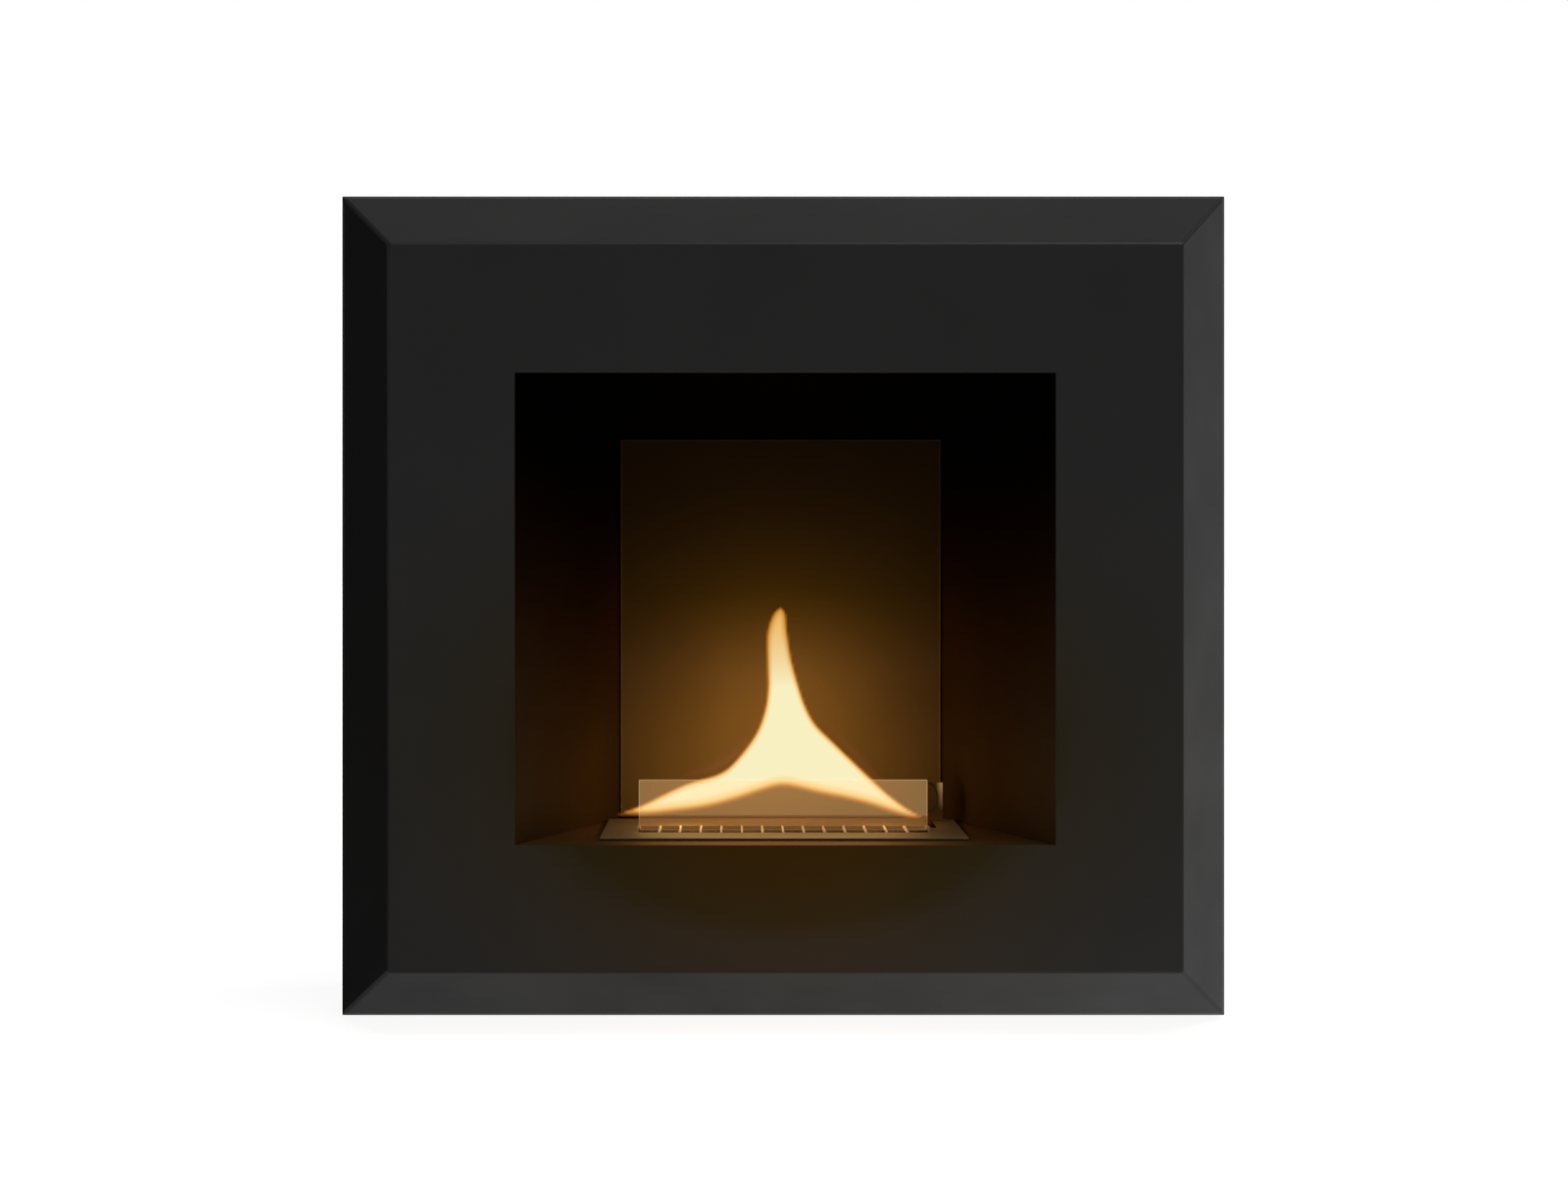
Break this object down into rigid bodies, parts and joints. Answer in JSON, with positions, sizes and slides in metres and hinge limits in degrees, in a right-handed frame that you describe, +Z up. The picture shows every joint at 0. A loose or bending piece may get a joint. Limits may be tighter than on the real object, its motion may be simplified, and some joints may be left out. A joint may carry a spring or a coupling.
{
  "type": "portable fireplace",
  "caption": "Shallow portable bio-ethanol fireplace: bevelled black surround, splayed firebox, glossy back panel, lift-out slot burner with a sliding shutter and low glass screen.",
  "frame": {"origin": "middle of the footprint, on the ground plane that the feet stand on", "axes": "+X to the right of someone who faces the fire, +Y from the face to the back, +Z up"},
  "size_m": [0.7, 0.26, 0.653],
  "materials": {
    "black_coat": "satin powder coat",
    "firebox_coat": "satin heat-resistant paint",
    "zinc_sheet": "bright zinc-coated sheet",
    "screw_zinc": "zinc-plated screws",
    "burner_steel": "brushed stainless steel",
    "tank_steel": "plain stainless sheet",
    "black_glass": "opaque black glass, polished",
    "clear_glass": "clear tempered glass",
    "foot_rubber": "matt rubber",
    "pad_rubber": "heat-proof silicone",
    "ceramic_fibre": "loose ceramic fibre",
    "grip_black": "polished black phenolic"
  },
  "bodies": {
    "cabinet": {"front_surround": "black_coat", "surround_screws": "black_coat", "housing_shell": "black_coat", "rear_cover": "black_coat", "rear_cover_screws": "screw_zinc", "rear_stiffeners": "zinc_sheet", "feet": "foot_rubber", "foot_screws": "screw_zinc", "firebox_left_wall": "firebox_coat", "firebox_right_wall": "firebox_coat", "firebox_ceiling": "firebox_coat", "firebox_floor": "firebox_coat", "firebox_back": "firebox_coat", "back_panel": "black_glass", "panel_pads": "pad_rubber", "heat_shield": "zinc_sheet", "shield_spacers": "zinc_sheet", "firebox_legs": "zinc_sheet", "firebox_ties": "zinc_sheet", "spill_tray": "zinc_sheet"},
    "burner": {"burner_plate": "burner_steel", "burner_bars": "burner_steel", "burner_tank": "tank_steel", "ceramic_wool": "ceramic_fibre", "shutter_rails": "tank_steel", "screen_clips": "burner_steel"},
    "shutter": {"shutter_plate": "tank_steel", "shutter_handle": "burner_steel", "shutter_grip": "grip_black", "grip_screw": "screw_zinc"},
    "screen": {"screen_glass": "clear_glass"}
  },
  "joints": [
    {"name": "burner_lift", "type": "slide", "parent": "cabinet", "child": "burner", "axis": [0, 0, 1], "range_m": [0, 0.075]},
    {"name": "shutter_slide", "type": "slide", "parent": "burner", "child": "shutter", "axis": [0, -1, 0], "range_m": [0, 0.048]},
    {"name": "glass_lift", "type": "slide", "parent": "burner", "child": "screen", "axis": [0, 0, 1], "range_m": [0, 0.04]}
  ]
}
